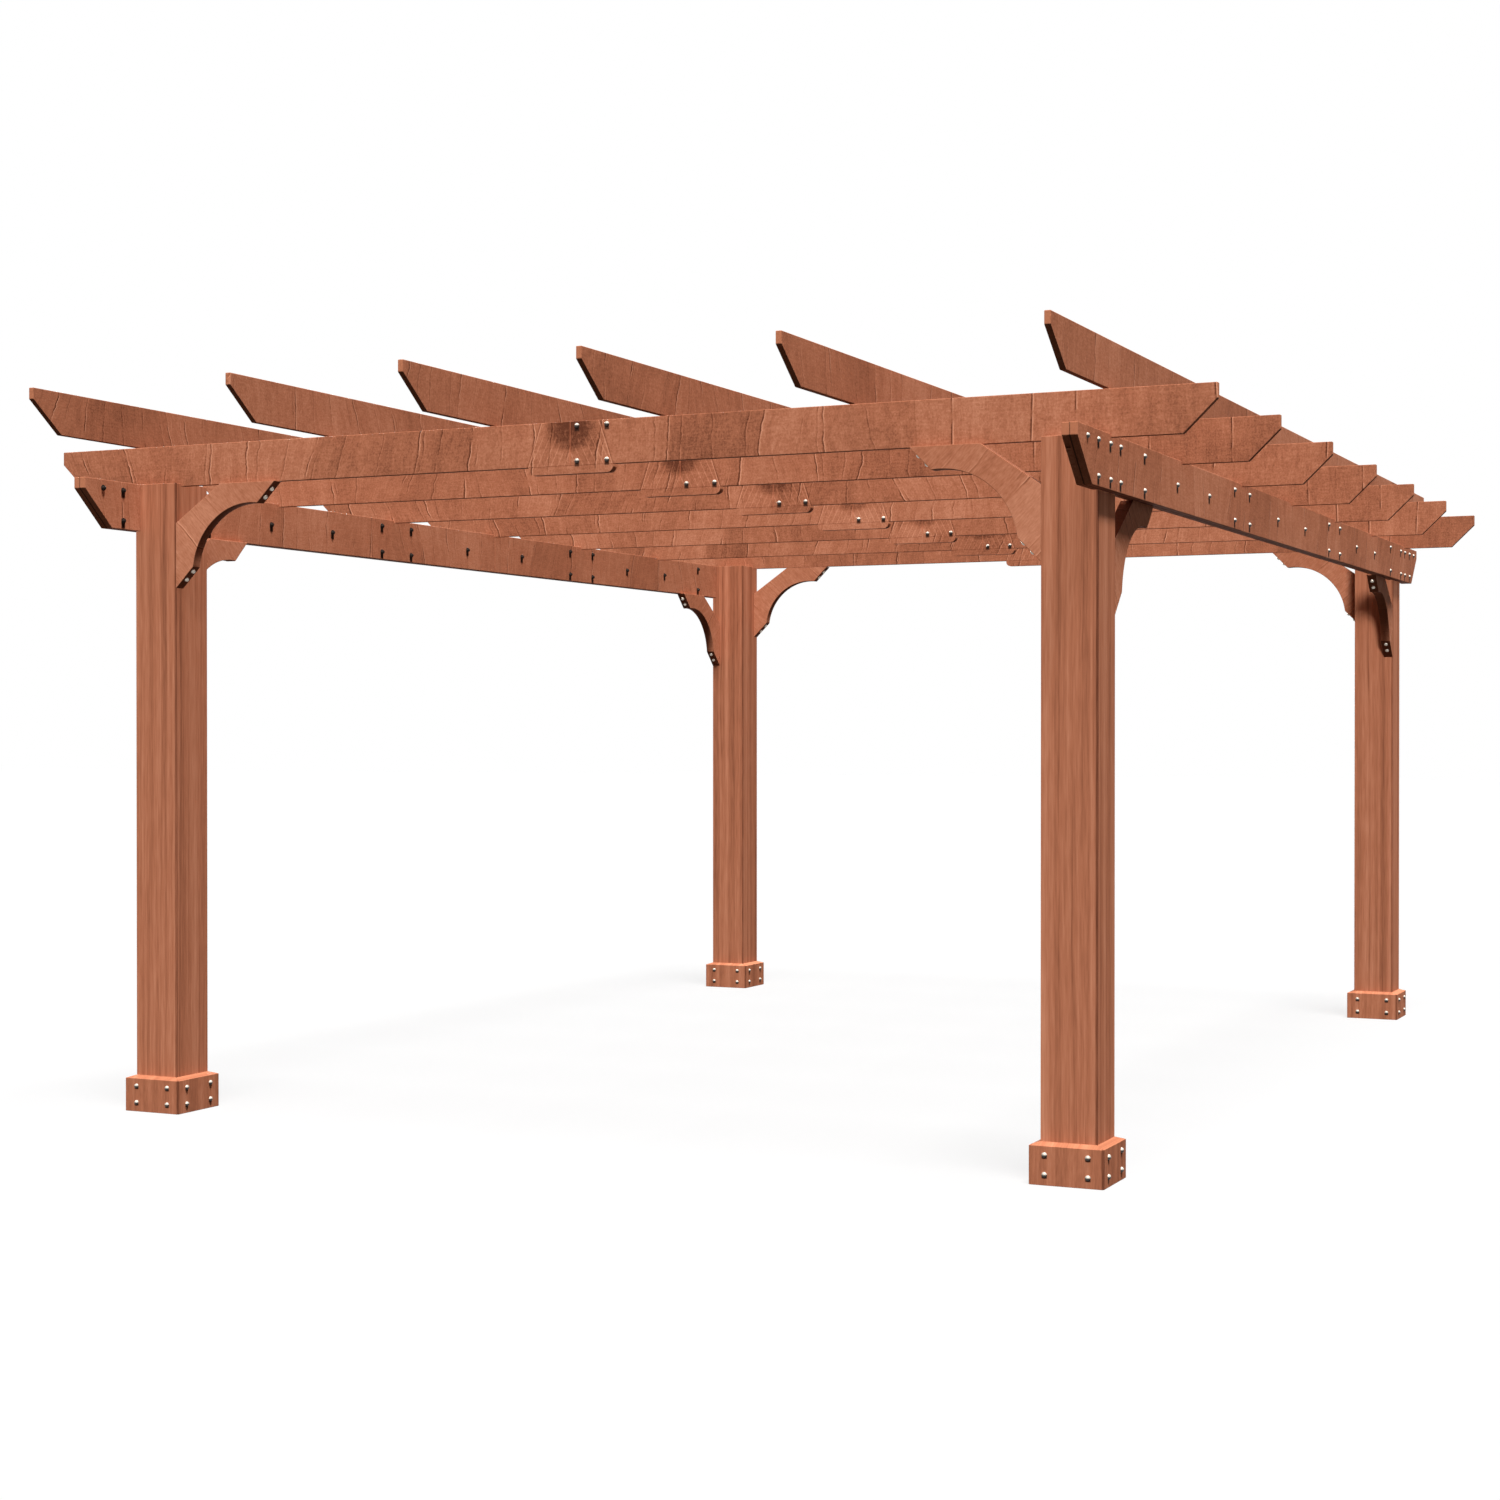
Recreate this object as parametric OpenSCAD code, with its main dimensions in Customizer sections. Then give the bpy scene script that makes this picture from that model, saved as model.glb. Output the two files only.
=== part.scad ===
// Free-standing wooden pergola, in millimetres.
// X runs along the rafters, Y along the beams and purlins, Z up from the ground.
// The origin is on the ground, in the middle of the four posts.

/* [Posts] */
// Side of each square post
post_w = 167; // [130:1:200]
// Distance over the outer faces of the posts, along the rafters
posts_over_x = 3358; // [2900:1:3700]
// Distance over the outer faces of the posts, along the beams
posts_over_y = 4624; // [4200:1:4900]
// Height of the post tops, which are level with the beams' tops
post_h = 2110; // [1900:1:2500]
// Depth of the rebate in a post's outer face that the beam sits in
post_rebate = 18; // [10:1:40]

/* [Skirts] */
// Height of the skirt boards round a post's foot
skirt_h = 120; // [80:1:200]
// Thickness of a skirt board
skirt_t = 26; // [18:1:40]
// Fall of the bevelled top edge of a skirt board
skirt_bevel = 9; // [3:1:15]

/* [Beams] */
// Height of a beam board
beam_h = 157; // [130:1:190]
// Thickness of one ply of a beam
beam_ply = 22.5; // [18:0.5:35]
// Overhang of a beam's end past the posts
beam_overhang = 277; // [150:1:400]
// Height left square at a beam's end, over the sloping cut
beam_nose = 35; // [20:1:60]
// Length of the sloping cut under a beam's end
beam_slope = 134; // [80:1:200]
// Distance between the two butt joints of a beam's outer ply
beam_joints_apart = 1514; // [1200:1:1900]

/* [Rafters] */
// Height of a rafter
rafter_h = 137; // [110:1:170]
// Thickness of a rafter
rafter_t = 20; // [15:1:40]
// Overhang of a rafter's end past the posts
rafter_overhang = 331; // [200:1:450]
// Distance from the posts' outer face in to the first rafter
rafter_inset = 26; // [0:1:50]
// Depth of the notch that seats a rafter over a beam or a post
rafter_notch = 10; // [5:1:30]
// Height left square at a rafter's end, over the sloping cut
rafter_nose = 43; // [20:1:60]
// Length of the sloping cut under a rafter's end
rafter_slope = 97; // [60:1:140]
// Place of the butt joint between the two halves of a rafter
rafter_joint_x = -20; // [-200:1:100]

/* [Splice plates] */
// Length of the plate behind a rafter's butt joint
splice_l = 300; // [220:1:400]
// Thickness of the plate
splice_t = 16; // [13:1:30]
// Drop of the plate's lip, which carries both halves of the rafter
splice_lip = 25; // [23:1:40]
// Radius of the lip's corners
splice_r = 20; // [10:1:22]
// Depth that the plate is let into the rafter's back
splice_housing = 10; // [5:1:12]

/* [Purlins] */
// Height of a purlin
purlin_h = 138; // [110:1:170]
// Thickness of a purlin
purlin_t = 18; // [15:1:30]
// Overhang of a purlin's end past the posts
purlin_overhang = 496; // [300:1:650]
// Height left square at a purlin's end, over the sloping cut
purlin_nose = 36; // [20:1:60]
// Length of the sloping cut under a purlin's end
purlin_slope = 133; // [80:1:200]
// Distance between the two purlins beside the middle
purlin_inner_apart = 600; // [400:1:800]
// Distance between the next pair of purlins
purlin_middle_apart = 1848; // [1500:1:2200]
// Distance between the outermost pair of purlins
purlin_outer_apart = 3385; // [3000:1:3600]

/* [Knee braces] */
// Reach of a brace along the rafter or beam, from the post
brace_reach = 400; // [340:1:480]
// Drop of a brace down the post
brace_drop = 343; // [300:1:420]
// Length of the faces that meet the post and the timber above
brace_land = 218; // [180:1:260]
// Thickness of a brace
brace_t = 38; // [25:1:50]
// Rise and run of the sloping cut at each end of a brace
brace_cut = 70; // [40:1:90]
// Angle that the hollow curve turns through
brace_turn = 90; // [70:1:110]

/* [Hidden] */

// Rafters, at even steps from the front posts to the back posts
rafter_count = 7;
// Gap left at a butt joint between two boards
butt_gap = 1;
// Overrun of a cut past the face that it leaves
cut_over = 5;
// Smoothness of the true arcs
curve_fn = 96;
// Stain of the posts, of the long boards and of the curved braces
post_stain = "#a5684b";
board_stain = "#a9694c";
brace_stain = "#b07050";
skirt_stain = "#b8744f";

beam_l = posts_over_y + 2 * beam_overhang;
rafter_l = posts_over_x + 2 * rafter_overhang;
purlin_l = posts_over_y + 2 * purlin_overhang;
post_face_x = posts_over_x / 2;
post_face_y = posts_over_y / 2;
rafter_z = post_h - rafter_notch;
rafter_top = rafter_z + rafter_h;
beam_z = post_h - beam_h;
post_inner_x = post_face_x - post_w;
beam_inner_x = post_face_x - post_rebate;
beam_joint_x = beam_inner_x + beam_ply;
beam_outer_x = beam_joint_x + beam_ply;
rafter_first_y = -post_face_y + rafter_inset;
rafter_last_y = post_face_y - rafter_inset - rafter_t;
rafter_step = (rafter_last_y - rafter_first_y) / (rafter_count - 1);
purlins_apart = [purlin_outer_apart, purlin_middle_apart, purlin_inner_apart];

// Board on edge along X, centred, with its foot on z = 0: square noses over sloping end cuts
module board(length, height, thickness, nose, slope) {
    half = length / 2;
    outline = [
        [-half, height], [-half, height - nose], [-half + slope, 0],
        [half - slope, 0], [half, height - nose], [half, height]
    ];
    rotate([90, 0, 0])
        translate([0, 0, -thickness])
            linear_extrude(thickness)
                polygon(outline);
}

// The same board turned to run along Y, from x = 0 towards +X
module board_along_y(length, height, thickness, nose, slope) {
    translate([thickness, 0, 0])
        rotate([0, 0, 90])
            board(length, height, thickness, nose, slope);
}

// Gap of a butt joint in a board along Y
module butt_cut_y(y, x, thickness, z, height) {
    translate([x - cut_over, y - butt_gap / 2, z - cut_over])
        cube([thickness + 2 * cut_over, butt_gap, height + 2 * cut_over]);
}

// Mirror a front-left piece to the corner that the signs name
module at_corner(side, end) {
    mirror([side > 0 ? 1 : 0, 0, 0])
        mirror([0, end > 0 ? 1 : 0, 0])
            children();
}

// Post of the front-left corner, rebated at the top for the beam
module post() {
    color(post_stain)
        difference() {
            translate([-post_face_x, -post_face_y, 0])
                cube([post_w, post_w, post_h]);
            translate([-post_face_x - cut_over, -post_face_y - cut_over, beam_z])
                cube([post_rebate + cut_over, post_w + 2 * cut_over, post_h - beam_z + cut_over]);
        }
}

// Skirt board along X, its back on y = 0 and its bevelled top falling towards -Y
module skirt_board(length) {
    profile = [[0, 0], [0, skirt_h], [-skirt_t, skirt_h - skirt_bevel], [-skirt_t, 0]];
    translate([-length / 2, 0, 0])
        rotate([90, 0, 90])
            linear_extrude(length)
                polygon(profile);
}

// Skirt board for one side of a post, its ends mitred at 45 degrees
module mitred_skirt_board() {
    long = post_w + 2 * skirt_t;
    half = long / 2;
    mitre = [[-half, -skirt_t], [half, -skirt_t], [half - skirt_t, 0], [skirt_t - half, 0]];
    intersection() {
        skirt_board(long);
        linear_extrude(skirt_h)
            polygon(mitre);
    }
}

// Two opposite skirt boards round the front-left post, turned by a quarter for the other pair
module skirt_pair(quarter) {
    color(skirt_stain)
        translate([post_w / 2 - post_face_x, post_w / 2 - post_face_y, 0])
            for (turn = [0, 180])
                rotate([0, 0, turn + quarter])
                    translate([0, -post_w / 2, 0])
                        mitred_skirt_board();
}

// Inner ply of the right beam: two boards butted in the middle
module beam_inner_ply() {
    color(board_stain)
        difference() {
            translate([beam_inner_x, 0, beam_z])
                board_along_y(beam_l, beam_h, beam_ply, beam_nose, beam_slope);
            butt_cut_y(0, beam_inner_x, beam_ply, beam_z, beam_h);
        }
}

// Outer ply of the right beam: three boards, so that its joints miss those of the inner ply
module beam_outer_ply() {
    color(board_stain)
        difference() {
            translate([beam_joint_x, 0, beam_z])
                board_along_y(beam_l, beam_h, beam_ply, beam_nose, beam_slope);
            for (end = [-1, 1])
                butt_cut_y(end * beam_joints_apart / 2, beam_joint_x, beam_ply, beam_z, beam_h);
        }
}

// Rafter in two halves, notched over both beams and housed at the back for the splice plate.
// The first and the last rafter are notched over the posts too.
module rafter(index) {
    y = rafter_first_y + index * rafter_step;
    housing_y = y + rafter_t - splice_housing;
    over_posts = index == 0 || index == rafter_count - 1;
    notch_x = over_posts ? post_inner_x : beam_inner_x;
    color(board_stain)
        difference() {
            translate([0, y, rafter_z])
                board(rafter_l, rafter_h, rafter_t, rafter_nose, rafter_slope);
            for (side = [0, 1])
                mirror([side, 0, 0])
                    translate([notch_x, y - cut_over, rafter_z - cut_over])
                        cube([beam_outer_x - notch_x, rafter_t + 2 * cut_over, rafter_notch + cut_over]);
            translate([rafter_joint_x - butt_gap / 2, y - cut_over, rafter_z - cut_over])
                cube([butt_gap, rafter_t + 2 * cut_over, rafter_h + 2 * cut_over]);
            translate([rafter_joint_x - splice_l / 2, housing_y, rafter_z - cut_over])
                cube([splice_l, splice_housing + cut_over, rafter_h + 2 * cut_over]);
        }
}

// Plate housed in the back of a rafter across its butt joint.
// Its lip comes forward under the rafter, flush with the rafter's front.
module splice_plate(index) {
    y = rafter_first_y + index * rafter_step;
    seat = rafter_t - splice_housing;
    depth = seat + splice_t;
    color(board_stain)
        difference() {
            translate([rafter_joint_x, y, rafter_z - splice_lip])
                rotate([90, 0, 0])
                    translate([0, 0, -depth])
                        linear_extrude(depth)
                            plate_outline(rafter_h + splice_lip);
            translate([rafter_joint_x - splice_l / 2 - cut_over, y - cut_over, rafter_z])
                cube([splice_l + 2 * cut_over, seat + cut_over, rafter_h + cut_over]);
        }
}

// Front outline of a splice plate, with round lower corners
module plate_outline(height) {
    straight = splice_l - 2 * splice_r;
    translate([-splice_l / 2, splice_r])
        square([splice_l, height - splice_r]);
    translate([-straight / 2, 0])
        square([straight, height]);
    for (side = [-1, 1])
        translate([side * straight / 2, splice_r])
            circle(splice_r, $fn = curve_fn);
}

// Purlin on edge over all the rafters
module purlin(x) {
    color(board_stain)
        translate([x - purlin_t / 2, 0, rafter_top])
            board_along_y(purlin_l, purlin_h, purlin_t, purlin_nose, purlin_slope);
}

// Flat outline of a knee brace: its corner is the origin, it reaches along +X and drops along -Y.
// The upper edge is straight and leaves the corner open, and the underside is one hollow arc.
module brace_outline() {
    low = [brace_cut, brace_cut - brace_drop];
    high = [brace_reach - brace_cut, -brace_cut];
    chord = high - low;
    half_chord = norm(chord) / 2;
    away = [chord[1], -chord[0]] / norm(chord);
    radius = half_chord / sin(brace_turn / 2);
    centre = (low + high) / 2 + away * (radius * cos(brace_turn / 2));
    difference() {
        polygon([
            [0, brace_land - brace_drop], [brace_reach - brace_land, 0], [brace_reach, 0],
            high, low, [0, -brace_drop]
        ]);
        translate(centre)
            circle(radius, $fn = curve_fn);
    }
}

// Brace between the front-left post and the first rafter, flush with the post's front face
module brace_to_rafter() {
    color(brace_stain)
        translate([post_w - post_face_x, brace_t - post_face_y, rafter_z])
            rotate([90, 0, 0])
                linear_extrude(brace_t)
                    brace_outline();
}

// Brace between the front-left post and the beam, flush with the post's outer face
module brace_to_beam() {
    color(brace_stain)
        translate([-post_face_x, post_w - post_face_y, beam_z])
            rotate([90, 0, 90])
                linear_extrude(brace_t)
                    brace_outline();
}

at_corner(-1, -1) post();  // post_front_left
at_corner(1, -1) post();  // post_front_right
at_corner(-1, 1) post();  // post_back_left
at_corner(1, 1) post();  // post_back_right

at_corner(-1, -1) skirt_pair(0);  // skirt_front_left_ends
at_corner(-1, -1) skirt_pair(90);  // skirt_front_left_sides
at_corner(1, -1) skirt_pair(0);  // skirt_front_right_ends
at_corner(1, -1) skirt_pair(90);  // skirt_front_right_sides
at_corner(-1, 1) skirt_pair(0);  // skirt_back_left_ends
at_corner(-1, 1) skirt_pair(90);  // skirt_back_left_sides
at_corner(1, 1) skirt_pair(0);  // skirt_back_right_ends
at_corner(1, 1) skirt_pair(90);  // skirt_back_right_sides

mirror([1, 0, 0]) beam_inner_ply();  // beam_left_inner_ply
mirror([1, 0, 0]) beam_outer_ply();  // beam_left_outer_ply
beam_inner_ply();  // beam_right_inner_ply
beam_outer_ply();  // beam_right_outer_ply

for (index = [0 : rafter_count - 1]) {
    rafter(index);
    splice_plate(index);
}

for (row = [0 : len(purlins_apart) - 1]) {
    purlin(-purlins_apart[row] / 2);
    purlin(purlins_apart[row] / 2);
}

at_corner(-1, -1) brace_to_rafter();  // brace_front_left_rafter
at_corner(1, -1) brace_to_rafter();  // brace_front_right_rafter
at_corner(-1, 1) brace_to_rafter();  // brace_back_left_rafter
at_corner(1, 1) brace_to_rafter();  // brace_back_right_rafter
at_corner(-1, -1) brace_to_beam();  // brace_front_left_beam
at_corner(1, -1) brace_to_beam();  // brace_front_right_beam
at_corner(-1, 1) brace_to_beam();  // brace_back_left_beam
at_corner(1, 1) brace_to_beam();  // brace_back_right_beam
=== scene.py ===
import math

import bpy
from mathutils import Matrix, Vector


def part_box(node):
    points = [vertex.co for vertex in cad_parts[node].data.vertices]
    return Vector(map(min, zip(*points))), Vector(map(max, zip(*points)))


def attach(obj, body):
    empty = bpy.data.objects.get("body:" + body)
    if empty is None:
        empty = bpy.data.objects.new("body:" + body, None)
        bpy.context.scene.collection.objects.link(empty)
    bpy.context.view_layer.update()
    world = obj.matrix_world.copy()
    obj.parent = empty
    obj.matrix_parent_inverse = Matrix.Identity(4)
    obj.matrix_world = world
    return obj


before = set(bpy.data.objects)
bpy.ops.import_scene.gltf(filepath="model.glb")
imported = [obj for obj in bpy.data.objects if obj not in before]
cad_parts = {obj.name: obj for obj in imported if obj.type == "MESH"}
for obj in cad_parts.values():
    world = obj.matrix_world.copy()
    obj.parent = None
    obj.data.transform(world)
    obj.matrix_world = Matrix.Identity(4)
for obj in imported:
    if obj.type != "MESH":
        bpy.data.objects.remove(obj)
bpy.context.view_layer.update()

# Camera of the photograph, in metres, degrees and photograph pixels
PHOTO_PIXELS = 1500
FOCAL_PIXELS = 2444.9
SENSOR_MM = 36.0
CAMERA_PLACE = (3.6865, -8.9130, 1.2728)
CAMERA_TURN = 25.0136
CAMERA_TILT = -0.3968

# Lights: level on a white surface that faces the lamp, where it comes from, softness in degrees
SKY_LEVEL = 0.12
SKY_EDGE = 0.02
FRONT_LEVEL = 1.18
FRONT_FROM = (0.05, -0.72, 0.69)
FRONT_SOFTNESS = 10.0
SIDE_LEVEL = 2.05
SIDE_FROM = (0.31, -0.04, 0.95)
SIDE_SOFTNESS = 8.0
BRACE_SIDE_LEVEL = 3.43
BRACE_SIDE_FROM = (0.185, -0.04, 0.98)
CORNER_LEVEL = 0.94
CORNER_FROM = (0.36, -0.88, 0.26)
CORNER_SOFTNESS = 14.0
CORNER_SIDE_LEVEL = 1.20
BACK_LEVEL = 0.95
BACK_FROM = (-0.60, 0.74, 0.30)
BACK_SOFTNESS = 20.0
FLOOR_LAMP_LEVEL = 1.0
FLOOR_LAMP_FROM = (0.15, -0.20, 0.97)
FLOOR_LAMP_SOFTNESS = 20.0

# Starts of the names of pieces that throw no shadow from a lamp, and the pieces with the corner's lamps
ROOF = ("purlin_", "rafter_", "splice_plate_")
FRONT_PASSES = (*ROOF, "beam_")
SIDE_PASSES = ("purlin_", "rafter_", "splice_", "brace_")
CORNER_NODES = ("post_back_right", "brace_back_right_rafter")

# Floor, in metres: white where it is seen, dull where it throws light back
FLOOR_HALF = 60.0
FLOOR_DROP = 0.0005
FLOOR_SHADOW_SHARE = 0.22
FLOOR_SEEN = (0.96, 0.96, 0.96)
FLOOR_BOUNCE = (0.090, 0.080, 0.070)
WHITE = (1.0, 1.0, 1.0)

# Colours, linear
CEDAR = (0.388, 0.140, 0.0735)
CEDAR_DEEP = (0.120, 0.038, 0.020)
CEDAR_PALE = (0.600, 0.265, 0.158)
CEDAR_END = (0.460, 0.170, 0.088)
# Near black of the painted shadows below bolts, the painted shade under bolt heads and the beams' dark ply
# seam
SHADE_AND_SEAM_DARK = (0.016, 0.010, 0.008)
ZINC = (0.45, 0.40, 0.34)
# The nuts and bolt ends on the beams' inner faces and behind the plates are painted near black for the
# shade they sit in
NUT_SHADE_DARK = (0.022, 0.016, 0.013)

# Sheen and relief of the wood, relief in metres
WOOD_ROUGH = 0.68
WOOD_POLISH = 0.12
WOOD_GLOSS = 0.01
BOARD_RELIEF = 0.0010
POST_RELIEF = 0.0008

# Growth lines across the boards, in metres, with how far they lean, bow and jag
COARSE_LINES = 0.26
FINE_LINES = 0.12
FINE_SHIFT = 0.05
LINE_FIRST = 0.15
LINE_SPREAD = 0.7
LINE_WIDTH = 0.0070
LINE_TURN = 0.0016
LINE_LEAN = 2.4
LINE_BOW = 0.042
LINE_JAG = 0.009

# Noise waves per metre on the boards, mostly along, up and across; AS_IT_IS takes a number as it is
AS_IT_IS = 1.0
LEAN_WAVES = (1.7, AS_IT_IS, AS_IT_IS)
LEAN_SLICE = 0.3
BOW_WAVES = (5.0, 9.0, 6.0)
JAG_WAVES = (30.0, 55.0, 30.0)
FADE_WAVES = (8.0, 14.0, AS_IT_IS)
STREAK_WAVES = (140.0, 24.0, 30.0)
HATCH_WAVES = (34.0, 170.0, 34.0)
BAND_WAVES = (26.0, 5.0, 6.0)
CLOUD_WAVES = (3.5, 6.0, 4.0)
SPECK_WAVES = (210.0, 160.0, 180.0)
RING_WAVES = (160.0, 45.0, AS_IT_IS)
KNOT_WAVES = (14.0, 18.0, AS_IT_IS)
FADE_EDGE = (0.33, 0.62)

# Noise waves per metre on the posts and skirts, where a skirt board's own number goes in as it is
POST_WANDER_WAVES = (3.0, 3.0, 0.9)
POST_BAND_WAVES = (26.0, 26.0, 0.22)
POST_STREAK_WAVES = (95.0, 95.0, 0.9)
POST_PORE_WAVES = (210.0, 210.0, 10.0)
POST_SEAM_WAVES = (60.0, 60.0, 0.25)
SKIRT_BAND_WAVES = (30.0, AS_IT_IS, 1.5)
SKIRT_STREAK_WAVES = (110.0, AS_IT_IS, 4.0)
SKIRT_PORE_WAVES = (230.0, AS_IT_IS, 30.0)
SKIRT_TOP_WAVES = (8.0, 160.0, AS_IT_IS)
POST_SEAM_EDGE = (0.60, 0.70)

# Detail and roughness of the noise where they aren't the usual ones
FINE_DETAIL = 3.0
SOFT_DETAIL = 1.0
STREAK_ROUGH = 0.62
SPECK_ROUGH = 0.7
UPRIGHT_ROUGH = 0.6

# Share of each layer in the tone of the boards, and in their height
STREAK_SHARE = 0.32
HATCH_SHARE = 0.24
BAND_SHARE = 0.26
CLOUD_SHARE = 0.24
SPECK_SHARE = 0.55
TONE_SHARE = 0.15
FINE_TONE_SHARE = 0.06
LINE_SHARE = 0.46
FINE_PALE_SHARE = 0.15
FINE_DARK_SHARE = 0.20
STREAK_HEIGHT = 0.35
LINE_HEIGHT = 0.4

# Tone of the posts, skirts and braces
POST_WANDER = 0.02
POST_MEAN = 0.53
POST_BAND_SHARE = 0.85
POST_STREAK_SHARE = 0.40
POST_PORE_SHARE = 0.46
POST_SEAM_SHARE = 0.16
POST_ARRIS_SHARE = 0.40
SKIRT_MEAN = 0.47
SKIRT_BAND_SHARE = 0.75
SKIRT_STREAK_SHARE = 0.42
SKIRT_PORE_SHARE = 0.36
SKIRT_ARRIS_SHARE = 0.35
SKIRT_TOP_EDGE = (0.6, 0.9)
SKIRT_TOP_STAIN = 0.02
SKIRT_TOP_GRAIN = 0.22
UPRIGHT_STREAK_HEIGHT = 0.5
UPRIGHT_PORE_HEIGHT = 0.4
BRACE_LIFT = 0.08
BRACE_REACH = 1.4
BRACE_SPREAD = 0.3

# Contrast of the long boards, dark arrises in metres, painted shade on faces that look up or down, and end
# grain
SIDE_CONTRAST = 1.20
FRONT_CONTRAST = 1.35
FRONT_MEAN = 0.475
ARRIS_DARK = 0.0035
ARRIS_CLEAR = 0.0085
ARRIS_TURN = 0.1
UP_DOWN_SHADE = 0.75
BOARD_SHADE_FACING = (0.5, 0.95)
BRACE_SHADE_FACING = (0.1, 0.6)
END_EDGE = (0.80, 0.95)
END_STAIN = 0.55
END_RING = 0.4

# Figure about the rafters' butt joints, in metres
CALM_FROM = 0.85
CALM_TO = 1.25
CALM_SWAY = 0.12
FRONT_EDGE = (-0.3, -0.7)
FAN_APEX = 0.36
FAN_SLANT = 0.345
FAN_LINE = 0.0030
FAN_PALE = 0.44
FAN_DARK = 0.28
FAN_DARK_LINES = 3.0
CHEVRON_SLOPE = 0.50
CHEVRON_STEP = 0.024
CHEVRON_PALE = 0.26
CHEVRON_SIDE = 0.9
CHEVRON_FROM = 0.045
CHEVRON_TO = 0.015
KNOT_UP = 0.046
KNOT_HALF_WIDTH = 0.080
KNOT_HALF_HEIGHT = 0.074
KNOT_EDGE = 1.3
KNOT_CORE = 0.05
KNOT_DARK = 0.22
KNOT_CLOUD = 0.32
KNOT_HIDES = 0.75
PATCH_DARK = 0.10
PATCH_SIDE = 0.7
PATCH_FROM = -0.022
PATCH_TO = -0.010

# Painted shadows below bolts, and the dark seam between the beams' plies, in metres
SHADOW_START = 0.003
BEAM_SHADOW_HALF_WIDTH = 0.0120
BEAM_SHADOW_LENGTH = 0.030
SHADOW_SOLID = 0.70
SHADOW_CORE = 0.6
BEAM_SHADOW_AND_SEAM_DARK = 0.95
SMALL_SHADOW_HALF_WIDTH = 0.0100
SMALL_SHADOW_DARK = 0.85
SPLICE_SHADOW_LENGTH = 0.0200
SKIRT_SHADOW_LENGTH = 0.0125
PLY_SEAM = 0.0030
PLY_SEAM_CORE = 0.4

# Random numbers of the boards
SEED_STEP = 7.31
FINE_SEED = 40.0
TONE_SEED = 0.37
BRACE_SEEDS = (11.7, 5.3)
SKIRT_SEEDS = (3.0, 5.0, 9.0)
SKIRT_SEED_STEP = 1.7

# Zinc and steel: waves per metre, tone, wear and painted shade where the heads look down
SPANGLE_WAVES = (420.0, 420.0, 420.0)
DULL_WAVES = (60.0, 60.0, 60.0)
METAL_DARK = 0.72
SPANGLE_SHARE = 0.35
DULL_SHARE = 0.45
DULL_EDGE = (0.35, 0.7)
DULL_ROUGH = 0.2
UNDERSIDE_SHADE_EDGE = (0.25, -0.12)
METAL_RELIEF = 0.0002

# Bolts, in metres, with shapes as shares of their radius or rise
HEAD_RADIUS = 0.0082
HEAD_RISE = 0.0072
HEAD_CROWN = 0.94
RIM_RISE = 0.0014
RIM_STEP = 0.6
NUT_RADIUS = 0.0078
NUT_RISE = 0.0060
NUT_SHOULDER = 0.85
NUT_CROWN = 0.86
WASHER_RADIUS = 0.0100
WASHER_RISE = 0.0015
STUD_RADIUS = 0.0042
STUD_RISE = 0.0105
STUD_CHAMFER = 0.0010
TURN_STEPS = 16
NUT_SIDES = 6
DOME_STEPS = 5

# Places of the bolts, in metres, and as shares of the braces' sloping cuts
SKIRT_BOLT_APART = 0.127
SKIRT_BOLT_ROWS = (0.030, 0.0855)
BEAM_BOLT_EDGE = 0.028
BEAM_PAIRS = (2.399, 2.284, 2.185, 1.938, 0.855, 0.648)
BEAM_SINGLES = (1.575, 1.190, 0.222)
BEAM_END_SINGLE = 2.500
SPLICE_BOLT_STEPS = (0.024, 0.129)
SPLICE_BOLT_EDGE = 0.014
CUT_BOLT_SHARES_LOW = (0.42, 0.80)
CUT_BOLT_SHARES_HIGH = (0.35, 0.72)
CUT_NEAR = 0.0005

# Small rounding of the boards' edges, and the join of split corners, in metres
EDGE_ROUND = 0.0016
EDGE_STEPS = 2
EDGE_ANGLE = 25.0
SPLIT_CORNER = 0.00002


class Link:
    """An output socket of a finish. Sums and products of links add Math nodes."""

    def __init__(self, finish, socket):
        self.finish = finish
        self.socket = socket

    def math(self, operation, *values):
        return self.finish.node("ShaderNodeMath", {"operation": operation}, dict(enumerate(values)))

    def __add__(self, other):
        return self.math("ADD", self, other)

    def __radd__(self, other):
        return self.math("ADD", other, self)

    def __sub__(self, other):
        return self.math("SUBTRACT", self, other)

    def __rsub__(self, other):
        return self.math("SUBTRACT", other, self)

    def __mul__(self, other):
        return self.math("MULTIPLY", self, other)

    def __rmul__(self, other):
        return self.math("MULTIPLY", other, self)

    def __truediv__(self, other):
        return self.math("DIVIDE", self, other)

    def __rtruediv__(self, other):
        return self.math("DIVIDE", other, self)

    def __abs__(self):
        return self.math("ABSOLUTE", self)

    def floor(self):
        return self.math("FLOOR", self)

    def fract(self):
        return self.math("FRACT", self)

    def over(self, limit):
        return self.math("GREATER_THAN", self, limit)

    def largest(self, other):
        return self.math("MAXIMUM", self, other)

    def smallest(self, other):
        return self.math("MINIMUM", self, other)

    def ease(self, low, high):
        """0 before low, 1 past high and smooth between; low may be the larger."""
        settings = {"interpolation_type": "SMOOTHSTEP"}
        inputs = {"Value": self, "From Min": low, "From Max": high}
        return self.finish.node("ShaderNodeMapRange", settings, inputs)


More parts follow.
